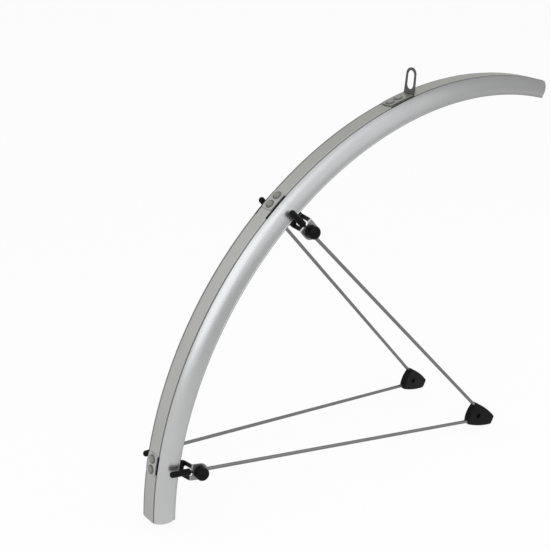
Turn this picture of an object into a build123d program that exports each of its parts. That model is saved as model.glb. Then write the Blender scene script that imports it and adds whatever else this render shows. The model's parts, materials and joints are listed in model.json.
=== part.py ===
from build123d import *
import os
from math import acos, atan2, copysign, cos, degrees, radians, sin, tan

# Front mudguard of a bicycle: a U-shaped blade on a slotted fork bracket, held at two places
# by riveted bridges, wire stays and clamps, and at the fork ends by two stay clips.
# Millimetres and degrees. X is forward, Y is left, Z is up.
# The origin is the centre of the fork bracket's slot, where the fork bolt passes.
# Angles round the wheel are measured at the axle, from straight ahead towards straight up.

# Blade
blade_radius = 358.7  # axle to the crown
blade_width = 34.8
blade_depth = 17.1  # crown to edge
sheet = 1.2
front_end = 72.3
rear_end = 177.3
front_cutback = 8.0  # how far the edge stops short of the crown
front_cutback_middle = 3.8  # the same, half-way down the wall
rear_cutback = 3.4
rear_cutback_middle = 0.5
band_width = 13.2  # flat crown band between the grooves
groove_width = 2.4
groove_depth = 0.7
shoulder_drop = 0.5  # crown to the top of the wall beside the groove
ridge_height = 0.35  # the groove's mark on the inside
bead_diameter = 1.6  # rolled edge

# Rivets
rivet_shank = 4.0
rivet_head = 8.4
rivet_head_height = 0.9
rivet_rim = 0.3
rivet_tail = 6.4
rivet_tail_height = 1.0
rivet_pitch = 9.8  # along the crown
rivet_clearance = 0.1
seat_gap = 0.05  # between curved pieces that are pressed together

# Fork bracket
bracket_bend = 100.7  # where the tab leaves the crown
bracket_rivets = 103.65
bracket_tail = 105.35
bracket_metal = 1.2
bracket_bend_inside = 1.0
tab_lean = 15.7  # forward of the wheel's radius
tab_length = 24.0
tab_foot_width = 13.2
tab_top_width = 12.0
slot_width = 8.8
slot_length = 17.0
slot_to_top = 2.5
tail_round = 3.0

# Bridges: steel straps inside the blade that come out at its edges and carry the stays
bridge_angles = {"upper": 127.9, "lower": 168.65}
strap = 1.1
strap_crown_width = 20.0  # along the wheel
ear_width = 15.0  # also the plate that hangs from it
strap_wall_gap = 0.4
strap_shoulder_slope = 40.0
strap_shoulder_round = 5.0
strap_bend_inside = 1.5
flange_drop = 3.6  # blade edge to the flange
flange_fall = 2.2
window_width = 7.6
window_margin = 1.2  # metal left beside the blade
window_overrun = 0.6  # past the plate's bend
window_round = 3.0
cover_plate = 0.6
cover_plate_width = 13.0
cover_plate_length = 20.5
cover_plate_round = 2.5

# Stays and their clamps
stay_diameter = 3.3
stay_bend = 5.4  # wire bent round the eyelet bolt, at its centre line
stay_overrun = 25.2  # wire past the clamp bolt
anchor_radius = 326.5  # axle to the clamp bolts
anchor_lateral = 23.7
grip_gap = 0.05
bolt_diameter = 5.0
bolt_clearance = 0.15
bolt_end = 1.2  # thread past the nut
eye_diameter = 8.6
eye_back = 3.4  # metal behind the stay's centre line
eye_gap = 0.15
eye_clearance = 0.1
eye_round = 1.0
bolt_chamfer = 0.5
nut_width = 8.0
nut_height = 4.0
nut_clearance = 0.05
knob_diameter = 11.8
knob_length = 8.4
knob_round = 3.2
knob_gap = 0.15
knob_fit = 0.12
end_cap_diameter = 5.5
end_cap_start = 8.8  # past the clamp bolt
end_cap_wall = 2.2
end_cap_fit = 0.05
end_cap_round = 2.2
end_cap_collar = 6.2
end_cap_collar_length = 5.0

# Clips at the fork ends
eyelet_forward = 1.0  # from the axle
eyelet_height = 20.5
eyelet_lateral = 48.9
eyelet_bore = 5.3
clip_depths = {"clip_cover": 2.9, "clip_base": 4.6}  # outwards and inwards of the stay
clip_tip = 23.0  # eyelet bolt to the blunt end
clip_tip_width = 9.0
clip_back = 11.8  # eyelet bolt to the middle of the back
clip_back_corner = 8.6
clip_width = 23.4
clip_side_bulge = 1.4
clip_corner_round = 2.4
clip_edge_round = 1.4
channel_fit = 0.1
clip_seam = 0.1


def polar(radius, angle):
    return Vector(radius * cos(radians(angle)), 0, radius * sin(radians(angle)))


# The axle lies where the slot's centre comes to the origin
tab_angle = bracket_bend - tab_lean
slot_height = tab_length - slot_to_top - slot_length / 2
axle = -(polar(blade_radius, bracket_bend) + polar(slot_height, tab_angle))
wheel_axis = Axis(axle, (0, -1, 0))


def section_plane(angle):
    """Across the blade: x to the left, y away from the axle."""
    return Plane(axle, x_dir=(0, 1, 0), z_dir=polar(1, angle - 90))


def side_plane(angle):
    """Along the wheel: x rearwards round the wheel, y away from the axle."""
    return Plane(axle, x_dir=polar(1, angle + 90), z_dir=(0, 1, 0))


def crown_plane(angle):
    """Flat on the crown, facing away from the axle."""
    return Plane(axle + polar(blade_radius, angle), x_dir=(0, 1, 0), z_dir=polar(1, angle))


def arc_angle(length, radius=blade_radius):
    return degrees(length / radius)


def rivet_planes(middle):
    half_pitch = arc_angle(rivet_pitch / 2)
    return [crown_plane(middle - half_pitch), crown_plane(middle + half_pitch)]


def save(builder, name):
    builder.part.label = name
    export_step(builder.part, f"parts/{name}.step")


os.makedirs("parts", exist_ok=True)

# Blade section: the wall is an arc that stands upright at the rolled edge
band_edge = band_width / 2
shoulder = band_edge + groove_width
wall_outside = blade_width / 2 - (bead_diameter - sheet)
edge_radius = blade_radius - blade_depth
wall_foot = edge_radius + bead_diameter / 2
wall_run = wall_outside - shoulder
wall_rise = blade_radius - shoulder_drop - wall_foot
wall_arc = (wall_run**2 + wall_rise**2) / (2 * wall_run)
wall_centre = Vector(wall_outside - wall_arc, wall_foot)
wall_sweep = degrees(atan2(wall_rise, shoulder - wall_centre.X))
inside_crown = blade_radius - sheet
end_trim = arc_angle(sheet)  # spare length that the shaping of the ends takes off
rivet_hole = rivet_shank / 2 + rivet_clearance

with BuildPart() as blade:
    with BuildSketch(section_plane(front_end - end_trim)):
        with BuildLine():
            band = Line((0, blade_radius), (band_edge, blade_radius))
            groove_foot = Vector(shoulder - groove_width / 2, blade_radius - groove_depth)
            outside = CenterArc(wall_centre, wall_arc, 0, wall_sweep)
            Polyline(band @ 1, groove_foot, outside @ 1)
            inside = CenterArc(wall_centre, wall_arc - sheet, 0, wall_sweep)
            Line(outside @ 0, inside @ 0)
            Polyline(
                inside @ 1,
                (groove_foot.X, inside_crown - ridge_height),
                (band_edge, inside_crown),
                (0, inside_crown),
                (0, blade_radius),
            )
        make_face()
        with Locations((wall_outside - sheet + bead_diameter / 2, wall_foot)):
            Circle(bead_diameter / 2)
        mirror(about=Plane.YZ)
    revolve(axis=wheel_axis, revolution_arc=rear_end - front_end + 2 * end_trim)

    # Both ends are rounded tongues: the crown reaches further than the edges
    ends = [
        (front_end, -1, front_cutback, front_cutback_middle),
        (rear_end, 1, rear_cutback, rear_cutback_middle),
    ]
    for angle, way, cutback, middle in ends:
        with BuildSketch(side_plane(angle)):
            with BuildLine():
                crown_point = (0, blade_radius + sheet)
                edge_point = (-way * cutback, edge_radius)
                middle_point = (-way * middle, (blade_radius + edge_radius) / 2)
                ThreePointArc(crown_point, middle_point, edge_point)
                Polyline(
                    edge_point,
                    (-way * cutback, edge_radius - sheet),
                    (way * blade_depth, edge_radius - sheet),
                    (way * blade_depth, blade_radius + sheet),
                    crown_point,
                )
            make_face()
        extrude(amount=blade_width, both=True, mode=Mode.SUBTRACT)

    for middle in [bracket_rivets, *bridge_angles.values()]:
        with BuildSketch(*rivet_planes(middle)):
            Circle(rivet_hole)
        extrude(amount=blade_depth / 2, both=True, mode=Mode.SUBTRACT)
save(blade, "guard_blade")

# Fork bracket: a bent strip, its tail on the crown and its tab standing in front of the rivets
side_view = Plane(axle, x_dir=(1, 0, 0), z_dir=(0, -1, 0))
tab_plane = Plane((0, 0, 0), x_dir=(0, 1, 0), z_dir=polar(1, tab_angle - 90))
bracket_seat = blade_radius + seat_gap
tab_front = polar(bracket_metal / 2, tab_angle - 90)
tab_foot = polar(blade_radius, bracket_bend) + tab_front
tab_top = tab_foot + polar(tab_length, tab_angle)
bend_outside = bracket_bend_inside + bracket_metal


def side_point(point):
    return (point.X, point.Z)


# The tab's front face meets the crown's circle a little above or below its foot
foot_angle = degrees(atan2(tab_foot.Z, tab_foot.X))
tab_foot = tab_foot + polar((bracket_seat - tab_foot.length) / cos(radians(tab_lean)), tab_angle)

with BuildPart() as bracket:
    with BuildSketch(side_view):
        with BuildLine() as strip:
            ThreePointArc(
                side_point(polar(bracket_seat, bracket_tail)),
                side_point(polar(bracket_seat, (bracket_tail + foot_angle) / 2)),
                side_point(tab_foot),
            )
            Line(side_point(tab_foot), side_point(tab_top))
            fillet(strip.vertices().sort_by_distance(side_point(tab_foot))[0], bend_outside)
            offset(amount=bracket_metal, side=Side.LEFT)
        make_face()
    extrude(amount=tab_foot_width / 2, both=True)

    # The tab narrows to a round top
    tab_rise = tab_length - slot_height
    taper_start = bend_outside - slot_height
    with BuildSketch(tab_plane):
        with Locations((0, taper_start)):
            Rectangle(2 * tab_foot_width, 2 * tab_length, align=(Align.CENTER, Align.MIN))
        with BuildLine():
            top_centre = tab_rise - tab_top_width / 2
            Polyline(
                (-tab_top_width / 2, top_centre),
                (-tab_foot_width / 2, taper_start),
                (tab_foot_width / 2, taper_start),
                (tab_top_width / 2, top_centre),
            )
            CenterArc((0, top_centre), tab_top_width / 2, 0, 180)
        make_face(mode=Mode.SUBTRACT)
    extrude(amount=2 * bracket_metal, both=True, mode=Mode.SUBTRACT)

    with BuildSketch(tab_plane):
        SlotOverall(slot_length, slot_width, rotation=90)
    extrude(amount=2 * bracket_metal, both=True, mode=Mode.SUBTRACT)
    with BuildSketch(*rivet_planes(bracket_rivets)):
        Circle(rivet_hole)
    extrude(amount=2 * bracket_metal, both=True, mode=Mode.SUBTRACT)
    tail_edge = bracket.edges().sort_by(Axis.X).filter_by(
        lambda e: e.length < 2 * bracket_metal
    )[0:2]
    fillet(tail_edge, tail_round)
save(bracket, "fork_bracket")

# Cover plates: short strips on the crown under the bridge rivets
cover_seat = blade_radius + seat_gap
for level, angle in bridge_angles.items():
    half_angle = arc_angle(cover_plate_length / 2)
    with BuildPart() as cover:
        with BuildSketch(section_plane(angle - half_angle)):
            with Locations((0, cover_seat)):
                Rectangle(cover_plate_width, cover_plate, align=(Align.CENTER, Align.MIN))
        revolve(axis=wheel_axis, revolution_arc=2 * half_angle)
        with BuildSketch(*rivet_planes(angle)):
            Circle(rivet_hole)
        extrude(amount=3 * cover_plate, both=True, mode=Mode.SUBTRACT)
        corner_edges = cover.edges().filter_by(lambda e: e.length < 1.5 * cover_plate)
        fillet(corner_edges, cover_plate_round)
    save(cover, f"{level}_cover_plate")

# Rivets: a domed head outside, a flat tail inside, one node for each pair
rivet_stacks = {
    "fork_bracket_rivets": (bracket_rivets, bracket_seat + bracket_metal, inside_crown),
    "upper_bridge_rivets": (bridge_angles["upper"], cover_seat + cover_plate, inside_crown - strap),
    "lower_bridge_rivets": (bridge_angles["lower"], cover_seat + cover_plate, inside_crown - strap),
}
for name, (middle, top, bottom) in rivet_stacks.items():
    tail_face = bottom - 2 * seat_gap
    with BuildPart() as rivets:
        for place in rivet_planes(middle):
            angle = degrees(atan2(place.z_dir.Z, place.z_dir.X))
            with BuildSketch(section_plane(angle)):
                with BuildLine():
                    Polyline(
                        (0, top + rivet_head_height),
                        (0, tail_face - rivet_tail_height),
                        (rivet_tail / 2, tail_face - rivet_tail_height),
                        (rivet_tail / 2, tail_face),
                        (rivet_shank / 2, tail_face),
                        (rivet_shank / 2, top),
                        (rivet_head / 2, top),
                        (rivet_head / 2, top + rivet_rim),
                    )
                    dome_rise = rivet_head_height - rivet_rim
                    dome = (rivet_head**2 / 4 + dome_rise**2) / (2 * dome_rise)
                    RadiusArc((rivet_head / 2, top + rivet_rim), (0, top + rivet_head_height), -dome)
                make_face()
            revolve(axis=Axis(place.origin, place.z_dir))
    save(rivets, name)


# Stay routes: two straight arms and a bend round the eyelet bolt, in one plane for each side
class StaySide:
    def __init__(self, sign):
        self.sign = sign
        self.eyelet = axle + Vector(eyelet_forward, sign * eyelet_lateral, eyelet_height)
        self.anchors = {
            level: axle + polar(anchor_radius, angle) + Vector(0, sign * anchor_lateral, 0)
            for level, angle in bridge_angles.items()
        }
        reach = {level: point - self.eyelet for level, point in self.anchors.items()}
        bisector = reach["upper"].normalized() + reach["lower"].normalized()
        outward = reach["lower"].cross(reach["upper"]) * sign
        self.plane = Plane(self.eyelet, x_dir=bisector, z_dir=outward)
        self.arms = {level: self.arm(point) for level, point in self.anchors.items()}
        (upper_bend, upper_end), (lower_bend, lower_end) = self.arms.values()
        with BuildLine(self.plane) as route:
            Line(upper_end, upper_bend)
            ThreePointArc(upper_bend, (-stay_bend, 0), lower_bend)
            Line(lower_bend, lower_end)
        self.route = route.wire()

    def arm(self, anchor):
        """The arm's start on the bend and its end, in the plane of the stay."""
        point = self.plane.to_local_coords(anchor)
        bearing = atan2(point.Y, point.X)
        turn = bearing + copysign(acos(stay_bend / point.length), point.Y)
        start = Vector(stay_bend * cos(turn), stay_bend * sin(turn))
        end = point + (point - start).normalized() * stay_overrun
        return (start.X, start.Y), (end.X, end.Y)

    def direction(self, level):
        start, end = (self.plane.from_local_coords(Vector(*p)) for p in self.arms[level])
        return (end - start).normalized()

    def lean(self, level):
        """How far the arm comes towards the wheel, as an angle from the wheel's radius."""
        along = self.direction(level)
        inward = -along.Y * self.sign
        return atan2(inward, along.dot(polar(1, bridge_angles[level])))

    def clamp_plane(self, level):
        """At the clamp bolt on the stay's centre line: x along the stay, z outwards."""
        lean = self.lean(level)
        outward = Vector(0, self.sign * cos(lean), 0) + polar(sin(lean), bridge_angles[level])
        return Plane(self.anchors[level], x_dir=self.direction(level), z_dir=outward)


sides = {"left": StaySide(1), "right": StaySide(-1)}
plate_inside = stay_diameter / 2 + grip_gap
plate_outside = plate_inside + strap
bolt_hole = bolt_diameter / 2 + bolt_clearance

for side, stay_side in sides.items():
    route = stay_side.route
    with BuildPart() as stay:
        with BuildSketch(Plane(route @ 0, z_dir=route % 0)):
            Circle(stay_diameter / 2)
        sweep(path=route)
    save(stay, f"{side}_stay")

# Bridges: one bent strap each, symmetrical about the wheel's plane
strap_wall = wall_outside - sheet - strap_wall_gap
strap_arc = wall_arc - sheet - strap_wall_gap
strap_top = inside_crown - seat_gap
flange_radius = edge_radius - flange_drop
bend_outer = strap_bend_inside + strap
shoulder_turn = radians(90 - strap_shoulder_slope)
shoulder_radius = wall_foot + strap_arc * tan(shoulder_turn / 2)
shoulder_lateral = strap_wall - (strap_top - shoulder_radius) / tan(radians(strap_shoulder_slope))

for level, angle in bridge_angles.items():
    lean = sides["left"].lean(level)
    plate_down = Vector(sin(lean), -cos(lean))
    plate_out = Vector(cos(lean), sin(lean))
    bolt_point = Vector(anchor_lateral, anchor_radius) + plate_out * plate_outside
    plate_rise = (flange_radius - flange_fall - bolt_point.Y) / cos(lean)
    half_profile = [
        bolt_point + plate_down * (ear_width / 2 + strap),
        bolt_point - plate_down * plate_rise,
        Vector(strap_wall, flange_radius),
        Vector(strap_wall, shoulder_radius),
        Vector(shoulder_lateral, strap_top),
    ]
    half_bends = [bend_outer, strap_bend_inside, strap_arc, strap_shoulder_round]
    profile = [Vector(-p.X, p.Y) for p in half_profile] + half_profile[::-1]
    half_angle = arc_angle(strap_crown_width / 2, anchor_radius)
    with BuildPart() as bridge:
        with BuildSketch(section_plane(angle - half_angle)):
            with BuildLine():
                FilletPolyline(*profile, radius=half_bends + half_bends[::-1])
                offset(amount=strap, side=Side.RIGHT)
            make_face()
        revolve(axis=wheel_axis, revolution_arc=2 * half_angle)

        # Its outline from the side: wide at the rivets, narrower ears with a round end
        with BuildSketch(side_plane(angle)):
            with BuildLine():
                Polyline(
                    (0, blade_radius),
                    (strap_crown_width / 2, blade_radius),
                    (strap_crown_width / 2, shoulder_radius),
                    (ear_width / 2, edge_radius + strap),
                    (ear_width / 2, anchor_radius),
                )
                CenterArc((0, anchor_radius), ear_width / 2, 0, -90)
                Line((0, anchor_radius - ear_width / 2), (0, blade_radius))
            make_face()
            mirror(about=Plane.YZ)
        extrude(amount=2 * anchor_lateral, both=True, mode=Mode.INTERSECT)

        # Windows in the flanges for the stay ends, and holes for the rivets and the clamp bolts
        outer_corner = half_profile[1]
        flange = outer_corner - half_profile[2]
        windows = [
            Plane(
                axle + polar(outer_corner.Y, angle) + Vector(0, sign * outer_corner.X, 0),
                x_dir=polar(sign, angle + 90),
                z_dir=Vector(0, -sign * flange.Y, 0) + polar(flange.X, angle),
            )
            for sign in (1, -1)
        ]
        window_length = flange.length - window_margin + window_overrun
        with BuildSketch(*windows):
            with Locations((0, window_length / 2 - window_overrun)):
                RectangleRounded(window_width, window_length, window_round)
        extrude(amount=bend_outer, both=True, mode=Mode.SUBTRACT)
        with BuildSketch(*rivet_planes(angle)):
            Circle(rivet_hole)
        extrude(amount=blade_depth / 2, both=True, mode=Mode.SUBTRACT)
        with BuildSketch(*[stay_side.clamp_plane(level) for stay_side in sides.values()]):
            Circle(bolt_hole)
        extrude(amount=2 * plate_outside, mode=Mode.SUBTRACT)
    save(bridge, f"{level}_bridge")

# Clamps: an eyebolt round the stay, a nut outside the plate under a black knob,
# and a black cap on the end of the stay
bolt_length = plate_outside + nut_height + bolt_end
for level in bridge_angles:
    for side, stay_side in sides.items():
        place = stay_side.clamp_plane(level)
        along = stay_side.direction(level)
        stay_line = Plane(place.origin, x_dir=place.z_dir, z_dir=along)
        with BuildPart() as eyebolt:
            with BuildSketch(place.offset(-eye_back)):
                Circle(eye_diameter / 2)
            extrude(amount=eye_back + plate_inside - eye_gap)
            fillet(eyebolt.edges().group_by(Axis(place.origin, place.z_dir))[0], eye_round)
            with BuildSketch(place):
                Circle(bolt_diameter / 2)
            extrude(amount=bolt_length)
            chamfer(eyebolt.edges().group_by(Axis(place.origin, place.z_dir))[-1], bolt_chamfer)
            with BuildSketch(stay_line):
                Circle(stay_diameter / 2 + eye_clearance)
            extrude(amount=eye_diameter, both=True, mode=Mode.SUBTRACT)
        save(eyebolt, f"{level}_{side}_eyebolt")

        with BuildPart() as nut:
            with BuildSketch(place.offset(plate_outside)):
                RegularPolygon(nut_width / 2, 6, major_radius=False)
                Circle(bolt_diameter / 2 + nut_clearance, mode=Mode.SUBTRACT)
            extrude(amount=nut_height)
        save(nut, f"{level}_{side}_nut")

        with BuildPart() as knob:
            foot = plate_outside + knob_gap
            with BuildSketch(place.offset(foot)):
                Circle(knob_diameter / 2)
            extrude(amount=knob_length)
            top_edge = knob.edges().group_by(Axis(place.origin, place.z_dir))[-1]
            fillet(top_edge, knob_round)
            with BuildSketch(place.offset(foot)):
                RegularPolygon(nut_width / 2 + knob_fit, 6, major_radius=False)
            extrude(amount=nut_height, mode=Mode.SUBTRACT)
            with BuildSketch(place.offset(foot)):
                Circle(bolt_diameter / 2 + knob_fit)
            extrude(amount=nut_height + bolt_end + knob_fit, mode=Mode.SUBTRACT)
        save(knob, f"{level}_{side}_knob")

        with BuildPart() as end_cap:
            cap_length = stay_overrun - end_cap_start + end_cap_wall
            with BuildSketch(stay_line.offset(end_cap_start)):
                Circle(end_cap_diameter / 2)
            extrude(amount=cap_length)
            fillet(end_cap.edges().group_by(Axis(place.origin, along))[-1], end_cap_round)
            with BuildSketch(stay_line.offset(end_cap_start)):
                Circle(end_cap_collar / 2)
            extrude(amount=end_cap_collar_length)
            with BuildSketch(stay_line.offset(end_cap_start)):
                Circle(stay_diameter / 2 + end_cap_fit)
            extrude(amount=stay_overrun - end_cap_start + end_cap_fit, mode=Mode.SUBTRACT)
        save(end_cap, f"{level}_{side}_end_cap")

# Clips: two halves of a blunt triangle, closed round the bend of the stay
for side, stay_side in sides.items():
    route = stay_side.route
    for half, depth in clip_depths.items():
        way = 1 if half == "clip_cover" else -1
        with BuildPart() as clip:
            with BuildSketch(stay_side.plane.offset(way * clip_seam / 2)) as outline:
                with BuildLine():
                    upper_tip = (-clip_tip, clip_tip_width / 2)
                    lower_tip = (-clip_tip, -clip_tip_width / 2)
                    upper_back = (clip_back_corner, clip_width / 2)
                    lower_back = (clip_back_corner, -clip_width / 2)
                    Line(lower_tip, upper_tip)
                    SagittaArc(upper_tip, upper_back, clip_side_bulge)
                    ThreePointArc(upper_back, (clip_back, 0), lower_back)
                    SagittaArc(lower_back, lower_tip, clip_side_bulge)
                make_face()
                fillet(outline.vertices(), clip_corner_round)
            extrude(amount=way * (depth - clip_seam / 2))
            outward = Axis(stay_side.eyelet, stay_side.plane.z_dir * way)
            fillet(clip.faces().sort_by(outward)[-1].edges(), clip_edge_round)
            with BuildSketch(stay_side.plane):
                Circle(eyelet_bore / 2)
            extrude(amount=2 * depth, both=True, mode=Mode.SUBTRACT)
            with BuildSketch(Plane(route @ 0, z_dir=route % 0)):
                Circle(stay_diameter / 2 + channel_fit)
            sweep(path=route, mode=Mode.SUBTRACT)
        save(clip, f"{side}_{half}")
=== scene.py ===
import json
from math import cos, pi, radians, sin

import bmesh
import bpy
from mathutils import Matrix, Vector


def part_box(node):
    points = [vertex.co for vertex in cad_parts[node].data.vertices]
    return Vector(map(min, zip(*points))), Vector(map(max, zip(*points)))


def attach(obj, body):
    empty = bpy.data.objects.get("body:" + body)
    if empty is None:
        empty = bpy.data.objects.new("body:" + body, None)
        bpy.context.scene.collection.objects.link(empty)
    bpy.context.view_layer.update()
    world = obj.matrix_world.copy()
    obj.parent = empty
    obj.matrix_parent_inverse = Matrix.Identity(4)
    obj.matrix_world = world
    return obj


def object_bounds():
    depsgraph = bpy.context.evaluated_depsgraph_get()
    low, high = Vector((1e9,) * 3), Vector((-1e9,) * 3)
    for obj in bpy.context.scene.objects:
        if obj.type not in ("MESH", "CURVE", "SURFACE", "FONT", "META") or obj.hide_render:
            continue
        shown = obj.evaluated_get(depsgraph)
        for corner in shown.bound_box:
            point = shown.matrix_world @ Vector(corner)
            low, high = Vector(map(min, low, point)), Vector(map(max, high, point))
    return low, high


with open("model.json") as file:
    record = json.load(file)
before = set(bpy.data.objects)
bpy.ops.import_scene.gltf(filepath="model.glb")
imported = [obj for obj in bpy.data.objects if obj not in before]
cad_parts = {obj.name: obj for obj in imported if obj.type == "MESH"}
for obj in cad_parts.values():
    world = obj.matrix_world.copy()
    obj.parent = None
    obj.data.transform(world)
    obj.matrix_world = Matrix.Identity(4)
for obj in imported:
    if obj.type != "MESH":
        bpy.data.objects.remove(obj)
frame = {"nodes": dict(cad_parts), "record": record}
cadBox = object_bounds()
nodes = frame["nodes"]
mounts = {mount["name"]: Vector(mount["pos_m"]) for mount in frame["record"]["mounts"]}
print("frame loaded:", len(nodes), "pieces")

# Wheel measures that the finishes follow, in metres
wheel = {
    "eyeletFromAxle": Vector((0.001, 0.0489, 0.0205)),
    "crownRadius": 0.3587,
    "edgeRadius": 0.3416,  # lowest line of the blade
    "bandEdge": 0.0066,  # half of the flat crown band
    "grooveMiddle": 0.0078,
    "grooveDepth": 0.0007,
}
axle = mounts["left_eyelet"] - wheel["eyeletFromAxle"]
noiseMiddle = 0.5


class Value:
    # one socket of a material's nodes; sums and products on it add Math nodes
    def __init__(self, finish, socket):
        self.finish = finish
        self.socket = socket

    def maths(self, operation, first, second=0.0):
        return self.finish.node("ShaderNodeMath", {"operation": operation}, {0: first, 1: second})

    def __add__(self, other):
        return self.maths("ADD", self, other)

    def __radd__(self, other):
        return self.maths("ADD", other, self)

    def __sub__(self, other):
        return self.maths("SUBTRACT", self, other)

    def __rsub__(self, other):
        return self.maths("SUBTRACT", other, self)

    def __mul__(self, other):
        return self.maths("MULTIPLY", self, other)

    def __rmul__(self, other):
        return self.maths("MULTIPLY", other, self)

    def __abs__(self):
        return self.maths("ABSOLUTE", self)

    def least(self, other):
        return self.maths("MINIMUM", self, other)

    def most(self, other):
        return self.maths("MAXIMUM", self, other)

    def over(self, level):
        # what stands above a level
        return (self - level).most(0.0)

    def uneven(self):
        # a noise, as much below nought as above
        return self - noiseMiddle

    def step(self, low, high):
        # 0 below low, 1 above high, smooth between
        settings = {"interpolation_type": "SMOOTHSTEP"}
        sockets = {"Value": self, "From Min": low, "From Max": high}
        return self.finish.node("ShaderNodeMapRange", settings, sockets)

    def rise(self, level, stretch):
        # a step whose ends are measured from a level
        return self.step(level + stretch[0], level + stretch[1])

    def within(self, low, high, soft):
        # 1 between low and high, 0 outside
        return self.step(low - soft, low + soft) * (1 - self.step(high - soft, high + soft))


class Finish:
    # a material and the nodes that make it
    def __init__(self, name):
        self.material = bpy.data.materials.new(name)
        self.material.use_nodes = True
        self.tree = self.material.node_tree
        self.tree.nodes.clear()

    def node(self, kind, settings=None, sockets=None, output=0):
        made = self.tree.nodes.new(kind)
        for name, setting in (settings or {}).items():
            setattr(made, name, setting)
        for name, value in (sockets or {}).items():
            if isinstance(value, Value):
                self.tree.links.new(value.socket, made.inputs[name])
            else:
                made.inputs[name].default_value = value
        return Value(self, made.outputs[output]) if made.outputs else None

    def mix(self, factor, first, second):
        # the sockets that a colour Mix uses
        settings = {"data_type": "RGBA"}
        return self.node("ShaderNodeMix", settings, {0: factor, 6: first, 7: second}, output=2)

    def place(self):
        return self.node("ShaderNodeTexCoord", output="Object")

    def vector(self, operation, first, second):
        return self.node("ShaderNodeVectorMath", {"operation": operation}, {0: first, 1: second})

    def length(self, vector):
        return self.node("ShaderNodeVectorMath", {"operation": "LENGTH"}, {0: vector}, output="Value")

    def join(self, x, y, z):
        return self.node("ShaderNodeCombineXYZ", None, {"X": x, "Y": y, "Z": z})

    def split(self, vector):
        return [self.node("ShaderNodeSeparateXYZ", None, {0: vector}, output=axis) for axis in "XYZ"]

    def noise(self, vector, scale, detail=3.0, roughness=0.55):
        sockets = {"Vector": vector, "Scale": scale, "Detail": detail, "Roughness": roughness}
        return self.node("ShaderNodeTexNoise", None, sockets)

    def bump(self, height, strength, distance):
        sockets = {"Height": height, "Strength": strength, "Distance": distance}
        return self.node("ShaderNodeBump", None, sockets)

    def surface(self, sockets):
        shader = self.node("ShaderNodeBsdfPrincipled", None, sockets)
        self.node("ShaderNodeOutputMaterial", None, {"Surface": shader})
        return self.material


def grey(level, warmth=0.0):
    return (level * (1 + warmth), level, level * (1 - 2 * warmth), 1)


def onCrownLine(angle):
    # metres along the crown at an angle in degrees round the wheel
    return radians(angle) * wheel["crownRadius"]


def outwardAt(point):
    return Vector((point.x - axle.x, 0, point.z - axle.z)).normalized()


def aroundWheel(finish):
    # lengthwise on the crown, across, and out from the axle, in metres
    x, y, z = finish.split(finish.vector("SUBTRACT", finish.place(), axle))
    angle = finish.node("ShaderNodeMath", {"operation": "ARCTAN2"}, {0: z, 1: x})
    radius = finish.length(finish.join(x, 0.0, z))
    return angle * wheel["crownRadius"], y, radius


# Silver of the blade, with painted light and shade: darker towards the front and lighter towards the tail,
# the low wall lighter, and dark lines of painted shade in the groove, along the lowest edge and beside
# plates.
# The turns are where one colour gives way to the next, in degrees round the wheel.
# Heights are from the level named, in metres
blade = {
    # Wall and band greys, painted darker towards the front and lighter towards the tail as light falls
    # along the blade
    "wallFront": (0.303, 0.305, 0.303, 1),
    "wallMiddle": (0.346, 0.348, 0.348, 1),
    "wallRear": (0.500, 0.502, 0.502, 1),
    "bandFront": (0.379, 0.383, 0.358, 1),
    "bandRear": (0.470, 0.472, 0.456, 1),
    # Grey of painted shade, for the groove at the step and the lowest edge
    "groove": grey(0.168),
    "paintedShadowGrey": grey(0.008),
    # Lighter grey for the brushed streaks and for painted light on the low wall
    "grainAndSheen": grey(0.48),
    "haze": grey(0.208),
    "grazing": grey(0.55),
    "metallic": 0.92,
    "wallRoughness": 0.31,
    "bandRoughness": 0.58,
    "middleTurn": (92, 114),
    "rearTurn": (140, 168),
    "bandTurn": (112, 140),
    "bandHeight": (-0.0010, -0.0004),  # from the crown
    "bandSoft": (0.0, 0.0004),
    "grooveHeight": (-0.0005, -0.0001),  # from the bottom of the groove
    "grooveHalf": (0.0006, 0.0009),
    "shadowHalf": (0.0010, 0.0013),
    "shadowSoft": 0.0006,
    "edgeHeight": (0.0012, 0.0026),  # from the lowest line
    "lowHeight": (0.0022, 0.0072),
    "rolledGrain": (4, 1100),  # along and across
    "drawnGrain": (30, 3500),
    "rolledShare": 0.6,
    "drawnShare": 0.4,
    "cloudScale": 28.0,
    "lowPaintedLight": 0.30,
    "edgeShade": 0.22,
    "streakShine": 0.35,
    "cloudHaze": 0.30,
    "grooveShade": 0.92,
    "streakRoughness": 0.10,
    "cloudRoughness": 0.06,
    "bump": (0.02, 0.0002),  # strength and height
}

# Painted shadow in the groove beside what is riveted on, where the plates shade it: place round the wheel
# in degrees, half its length on the crown in metres, and how dark
shadedBesidePlates = [
    {"angle": 128.75, "half": 0.0131, "dark": 0.96},
    {"angle": 168.45, "half": 0.0086, "dark": 0.96},
    {"angle": 103.02, "half": 0.0145, "dark": 0.80},
]


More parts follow.
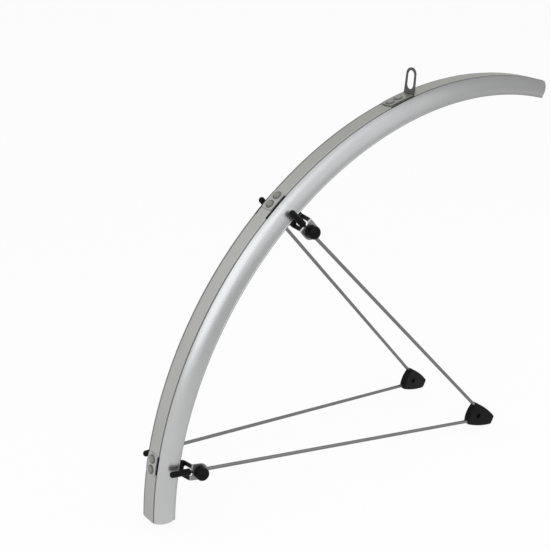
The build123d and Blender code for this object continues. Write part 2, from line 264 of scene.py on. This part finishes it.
def makeBladeFinish():
    finish = Finish("satinSilver")
    along, across, out = aroundWheel(finish)
    side = abs(across)
    crown, lowest = wheel["crownRadius"], wheel["edgeRadius"]

    def stretched(grain):
        return finish.join(along * grain[0], across * grain[1], out * grain[1])

    def turned(turn):
        return along.step(onCrownLine(turn[0]), onCrownLine(turn[1]))

    rolled = finish.noise(stretched(blade["rolledGrain"]), 1.0)
    drawn = finish.noise(stretched(blade["drawnGrain"]), 1.0, 2.0)
    cloud = finish.noise(finish.place(), blade["cloudScale"], 4.0)
    streaks = rolled * blade["rolledShare"] + drawn * blade["drawnShare"]

    onBand = out.rise(crown, blade["bandHeight"]) * (1 - side.rise(wheel["bandEdge"], blade["bandSoft"]))
    onOutside = out.rise(crown - wheel["grooveDepth"], blade["grooveHeight"])
    fromGroove = abs(side - wheel["grooveMiddle"])
    inGroove = onOutside * (1 - fromGroove.step(*blade["grooveHalf"]))
    byGroove = onOutside * (1 - fromGroove.step(*blade["shadowHalf"]))
    onEdge = 1 - out.rise(lowest, blade["edgeHeight"])
    lowOnWall = 1 - out.rise(lowest, blade["lowHeight"])
    plateShadow = 0.0
    for spot in shadedBesidePlates:
        middle, half = onCrownLine(spot["angle"]), spot["half"]
        plateShadow = plateShadow + along.within(middle - half, middle + half, blade["shadowSoft"]) * spot["dark"]

    # Painted light and shade: the wall and band go from darker at the front to lighter at the tail
    colour = finish.mix(turned(blade["middleTurn"]), blade["wallFront"], blade["wallMiddle"])
    colour = finish.mix(turned(blade["rearTurn"]), colour, blade["wallRear"])
    bandColour = finish.mix(turned(blade["bandTurn"]), blade["bandFront"], blade["bandRear"])
    colour = finish.mix(onBand, colour, bandColour)
    # Painted light: the low wall lighter towards the edge
    colour = finish.mix(lowOnWall * blade["lowPaintedLight"], colour, blade["grainAndSheen"])
    # Painted shade: a dark line along the lowest edge
    colour = finish.mix(onEdge * blade["edgeShade"], colour, blade["groove"])
    colour = finish.mix(streaks.over(noiseMiddle) * blade["streakShine"], colour, blade["grainAndSheen"])
    colour = finish.mix(cloud.over(noiseMiddle) * blade["cloudHaze"], colour, blade["haze"])
    # Painted shade in the groove at the step
    colour = finish.mix(inGroove * blade["grooveShade"], colour, blade["groove"])
    # Painted shadow in the groove beside the riveted plates
    colour = finish.mix(byGroove * plateShadow, colour, blade["paintedShadowGrey"])
    roughness = blade["wallRoughness"] + onBand * (blade["bandRoughness"] - blade["wallRoughness"])
    roughness = roughness + streaks.uneven() * blade["streakRoughness"]
    return finish.surface({
        "Base Color": colour,
        "Metallic": blade["metallic"],
        "Specular Tint": blade["grazing"],
        "Roughness": roughness + cloud.uneven() * blade["cloudRoughness"],
        "Normal": finish.bump(streaks, *blade["bump"]),
    })


# Steel of the wire, the bolts and the bent sheet, with a fine grain and soiled clouds
steel = {
    "wire": {"colour": grey(0.170), "roughness": 0.30, "grain": 1400.0},
    "bolt": {"colour": grey(0.21), "roughness": 0.30, "grain": 1600.0},
    "bright": grey(0.40),
    "soiled": grey(0.08, 0.02),
    "metallic": 0.9,
    "cloudScale": 120.0,
    "grainShine": 0.6,
    "cloudSoil": 0.6,
    "grainRoughness": 0.2,
    "cloudRoughness": 0.15,
    "bump": (0.06, 0.0001),
}


def wornSteel(finish, colour, grain):
    # grain and clouds over a colour; also the two noises
    place = finish.place()
    fine = finish.noise(place, grain, 4.0, 0.7)
    cloud = finish.noise(place, steel["cloudScale"], 3.0)
    tint = finish.mix(fine.over(noiseMiddle) * steel["grainShine"], colour, steel["bright"])
    tint = finish.mix(cloud.over(noiseMiddle) * steel["cloudSoil"], tint, steel["soiled"])
    return tint, fine, cloud


def steelSurface(finish, tint, fine, cloud, roughness):
    roughness = roughness + fine.uneven() * steel["grainRoughness"]
    return finish.surface({
        "Base Color": tint,
        "Metallic": steel["metallic"],
        "Roughness": roughness + cloud.uneven() * steel["cloudRoughness"],
        "Normal": finish.bump(fine, *steel["bump"]),
    })


def makeSteelFinish(name, kind):
    finish = Finish(name)
    tint, fine, cloud = wornSteel(finish, kind["colour"], kind["grain"])
    return steelSurface(finish, tint, fine, cloud, kind["roughness"])


# Bent sheet of the bracket and the bridges, with painted shade and a painted highlight. A bridge bends out
# at
# bendRadius from the axle: its straps lie above that, painted dark as shade, its round plates below, and a
# painted highlight runs along the bend. The bracket's tab ends at its bend and is painted darker as shade
sheet = {
    "plate": grey(0.24),
    "bendHighlight": grey(0.44),
    "strap": grey(0.020),
    "foot": (0.240, 0.240, 0.222, 1),
    "tab": grey(0.085),
    "bendRadius": 0.3352,
    "bendSoft": (0.0, 0.0008),
    "bendLineHeight": (-0.0006, 0.0002),
    "bendLineSoft": 0.0003,
    "bendHighlightShare": 0.5,
    "strapShade": 0.9,
    "footSoft": (-0.0005, 0.0),
    "tabBend": 100.7,  # degrees round the wheel
    "tabBendLength": 0.0021,
    "tabSoft": (-0.0005, 0.0),
    "roughness": 0.36,
    "grain": 900.0,
}


def makeSheetFinish():
    finish = Finish("bentSheet")
    along, across, out = aroundWheel(finish)
    bend = sheet["bendRadius"]
    lineLow, lineHigh = (bend + height for height in sheet["bendLineHeight"])
    tabEnd = onCrownLine(sheet["tabBend"]) + sheet["tabBendLength"]
    onStrap = out.rise(bend, sheet["bendSoft"])
    onBend = out.within(lineLow, lineHigh, sheet["bendLineSoft"])
    onFoot = out.rise(wheel["crownRadius"], sheet["footSoft"])
    onTab = 1 - along.rise(tabEnd, sheet["tabSoft"])
    # Painted highlight along the bend
    colour = finish.mix(onBend * sheet["bendHighlightShare"], sheet["plate"], sheet["bendHighlight"])
    # Painted shade: the straps near black
    colour = finish.mix(onStrap, colour, sheet["strap"])
    colour = finish.mix(onFoot, colour, sheet["foot"])
    # Painted shade: the tab darker than the foot
    colour = finish.mix(onTab, colour, sheet["tab"])
    inShade = onStrap * (1 - onFoot)
    tint, fine, cloud = wornSteel(finish, colour, sheet["grain"])
    # Painted shade laid over the straps' grain
    tint = finish.mix(inShade * sheet["strapShade"], tint, sheet["strap"])
    return steelSurface(finish, tint, fine, cloud, sheet["roughness"])


# Rivet heads with a rim painted darker as shade, by the distance from the rivet's axis in metres
rivet = {
    "head": (0.245, 0.245, 0.225, 1),
    "shadedRim": grey(0.115),
    "rimFrom": (0.0022, 0.0031),
    "rimShade": 0.85,
    "grain": 1800.0,
    "grainShine": 0.5,
    "roughness": 0.40,
    "grainRoughness": 0.2,
    "bump": (0.05, 0.0001),
}


def rivetMiddles(name):
    # the middle of each rivet of a pair, found from its own vertices
    points = [vertex.co for vertex in nodes[name].data.vertices]
    low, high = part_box(name)
    middle = (low + high) / 2
    outward = outwardAt(middle)
    forward = Vector((outward.z, 0, -outward.x))
    groups = [[p for p in points if (p - middle).dot(forward) * way > 0] for way in (1, -1)]
    return [sum(group, Vector()) / len(group) for group in groups]


def makeRivetFinish(name):
    finish = Finish(name + "Finish")
    place = finish.place()
    away = []
    for middle in rivetMiddles(name):
        fromMiddle = finish.vector("SUBTRACT", place, middle)
        away.append(finish.length(finish.vector("CROSS_PRODUCT", fromMiddle, outwardAt(middle))))
    shadedRim = away[0].least(away[1]).step(*rivet["rimFrom"])
    fine = finish.noise(place, rivet["grain"], 3.0)
    # Painted shade on the rim of each head
    colour = finish.mix(shadedRim * rivet["rimShade"], rivet["head"], rivet["shadedRim"])
    colour = finish.mix(fine.over(noiseMiddle) * rivet["grainShine"], colour, steel["bright"])
    return finish.surface({
        "Base Color": colour,
        "Metallic": steel["metallic"],
        "Roughness": rivet["roughness"] + fine.uneven() * rivet["grainRoughness"],
        "Normal": finish.bump(fine, *rivet["bump"]),
    })


# Black plastic of the knobs, end caps and clips
plastic = {
    "black": grey(0.003),
    "worn": grey(0.008),
    "wornFrom": 0.45,
    "wornShare": 1.6,
    "gloss": 0.085,
    "grain": 2600.0,
    "cloudScale": 160.0,
    "roughness": 0.46,
    "cloudRoughness": 0.25,
    "grainRoughness": 0.1,
    "bump": (0.18, 0.00015),
}


def makePlasticFinish():
    finish = Finish("mouldedBlack")
    place = finish.place()
    grain = finish.noise(place, plastic["grain"], 2.0)
    cloud = finish.noise(place, plastic["cloudScale"], 4.0)
    worn = cloud.over(plastic["wornFrom"]) * plastic["wornShare"]
    roughness = plastic["roughness"] + cloud.uneven() * plastic["cloudRoughness"]
    return finish.surface({
        "Base Color": finish.mix(worn, plastic["black"], plastic["worn"]),
        "Roughness": roughness + grain.uneven() * plastic["grainRoughness"],
        "Specular IOR Level": plastic["gloss"],
        "Normal": finish.bump(grain, *plastic["bump"]),
    })


def dress(name, material):
    slots = nodes[name].data.materials
    slots.clear()
    slots.append(material)


finishes = {
    "guard": makeBladeFinish(),
    "dark_steel": makeSheetFinish(),
    "stay_wire": makeSteelFinish("drawnWire", steel["wire"]),
    "fastener_steel": makeSteelFinish("boltSteel", steel["bolt"]),
    "black_plastic": makePlasticFinish(),
}
finishes["guard_plate"] = finishes["guard"]
for part in frame["record"]["subparts"]:
    name = part["node"]
    if part["material_slot"] == "rivet_steel":
        dress(name, makeRivetFinish(name))
    else:
        dress(name, finishes[part["material_slot"]])
print("finishes made:", len(bpy.data.materials))

# The rolled edges lie smooth over the blade's own. Their radius, the middle of their section and how fine
# they are, and for each end its angle on the crown, how far the edge lies past that and how the end slants
rolledEdge = {
    "radius": 0.00084,
    "fromMiddle": 0.0166,
    "fromAxle": 0.3424,
    "sides": 14,
    "rings": 240,
    "sharpFrom": 50,  # degrees
    "front": {"angle": 72.3, "past": 0.0080, "slant": 0.54},
    "rear": {"angle": 177.3, "past": -0.0034, "slant": -0.48},
}


def edgeEnd(end, radius):
    # the angle at which the blade's cut end crosses a radius
    past = end["past"] - max(radius - wheel["edgeRadius"], 0) * end["slant"]
    return radians(end["angle"]) + past / radius


def makeRolledEdge(name, way):
    sides, rings = rolledEdge["sides"], rolledEdge["rings"]
    points = []
    for ring in range(rings + 1):
        for side in range(sides):
            turn = 2 * pi * side / sides
            across = rolledEdge["fromMiddle"] + rolledEdge["radius"] * cos(turn)
            radius = rolledEdge["fromAxle"] + rolledEdge["radius"] * sin(turn)
            front = edgeEnd(rolledEdge["front"], radius)
            rear = edgeEnd(rolledEdge["rear"], radius)
            angle = front + (rear - front) * ring / rings
            points.append(axle + Vector((radius * cos(angle), way * across, radius * sin(angle))))
    faces = [list(range(sides)), list(range(rings * sides, (rings + 1) * sides))]
    for ring in range(rings):
        for side in range(sides):
            following = (side + 1) % sides
            near, far = ring * sides, (ring + 1) * sides
            faces.append([near + side, near + following, far + following, far + side])
    mesh = bpy.data.meshes.new(name)
    mesh.from_pydata(points, [], faces)
    shape = bmesh.new()
    shape.from_mesh(mesh)
    bmesh.ops.recalc_face_normals(shape, faces=shape.faces)
    shape.to_mesh(mesh)
    shape.free()
    mesh.shade_smooth()
    mesh.set_sharp_from_angle(angle=radians(rolledEdge["sharpFrom"]))
    mesh.materials.append(finishes["guard"])
    piece = bpy.data.objects.new(name, mesh)
    bpy.context.scene.collection.objects.link(piece)
    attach(piece, "root")


makeRolledEdge("left_rolled_edge", 1)
makeRolledEdge("right_rolled_edge", -1)
print("rolled edges laid on")

# The floor shows nearly its full white to the camera and in reflections, and keeps a soft shadow
stage = {"floorGrey": 0.86, "floorSize": 14.0, "whiteShare": 0.92, "worldLevel": 0.65}


def seenWhite(finish):
    # 1 for what the camera sees, straight, mirrored or through something
    camera, glossy, through = (
        finish.node("ShaderNodeLightPath", output=name)
        for name in ("Is Camera Ray", "Is Glossy Ray", "Is Transmission Ray")
    )
    return camera.most(glossy).most(through)


def makeFloor():
    low, high = cadBox
    middle = (low + high) / 2
    half = stage["floorSize"] / 2
    ways = [(-1, -1), (1, -1), (1, 1), (-1, 1)]
    corners = [(middle.x + x * half, middle.y + y * half, low.z) for x, y in ways]
    mesh = bpy.data.meshes.new("floor")
    mesh.from_pydata(corners, [], [(0, 1, 2, 3)])
    floor = bpy.data.objects.new("floor", mesh)
    bpy.context.scene.collection.objects.link(floor)
    finish = Finish("paleFloor")
    seen = seenWhite(finish) * stage["whiteShare"]
    lit = finish.node("ShaderNodeBsdfDiffuse", None, {"Color": grey(stage["floorGrey"])})
    white = finish.node("ShaderNodeEmission", None, {"Strength": 1.0})
    mixed = finish.node("ShaderNodeMixShader", None, {0: seen, 1: lit, 2: white})
    finish.node("ShaderNodeOutputMaterial", None, {"Surface": mixed})
    mesh.materials.append(finish.material)


class WorldFinish(Finish):
    def __init__(self):
        world = bpy.data.worlds.new("studio")
        world.use_nodes = True
        bpy.context.scene.world = world
        self.tree = world.node_tree
        self.tree.nodes.clear()


def makeWorld():
    finish = WorldFinish()
    level = stage["worldLevel"]
    strength = level + seenWhite(finish) * (1 - level)
    light = finish.node("ShaderNodeBackground", None, {"Color": grey(1.0), "Strength": strength})
    finish.node("ShaderNodeOutputWorld", None, {"Surface": light})


# Each lamp: the way to it from the object, its distance, width and power
lamps = {
    "shoulderBox": {"way": (-0.58, -0.66, 0.47), "distance": 2.0, "width": 1.4, "power": 12.0},
    "overheadBox": {"way": (-0.20, -0.30, 0.93), "distance": 2.0, "width": 2.2, "power": 7.4},
    "sideBox": {"way": (0.20, -0.80, 0.57), "distance": 2.0, "width": 2.2, "power": 10.5},
}
lampTint = (0.95, 0.97, 1.0)


def aim(holder, place, back):
    # lamps and cameras look against the way back to them
    holder.location = place
    holder.rotation_mode = "QUATERNION"
    holder.rotation_quaternion = (-back).to_track_quat("-Z", "Y")
    bpy.context.scene.collection.objects.link(holder)


def makeLamps():
    middle = (cadBox[0] + cadBox[1]) / 2
    for name, lamp in lamps.items():
        light = bpy.data.lights.new(name, "AREA")
        light.energy = lamp["power"]
        light.color = lampTint
        light.size = lamp["width"]
        way = Vector(lamp["way"]).normalized()
        aim(bpy.data.objects.new(name, light), middle + way * lamp["distance"], way)


camera = {
    "place": Vector((-0.71844, -0.74424, 0.23570)),
    "azimuth": -37.200,
    "elevation": 22.5386,
    "lens": 75.501,
    "sensor": 36.0,
}


def makeCamera():
    data = bpy.data.cameras.new("camera")
    data.sensor_width = camera["sensor"]
    data.lens = camera["lens"]
    holder = bpy.data.objects.new("camera", data)
    turn, rise = radians(camera["azimuth"]), radians(camera["elevation"])
    back = Vector((sin(turn) * cos(rise), -cos(turn) * cos(rise), sin(rise)))
    aim(holder, camera["place"], back)
    bpy.context.scene.camera = holder


makeFloor()
makeWorld()
makeLamps()
makeCamera()
bpy.context.scene.view_settings.view_transform = "Standard"
print("stage, lamps and camera set")
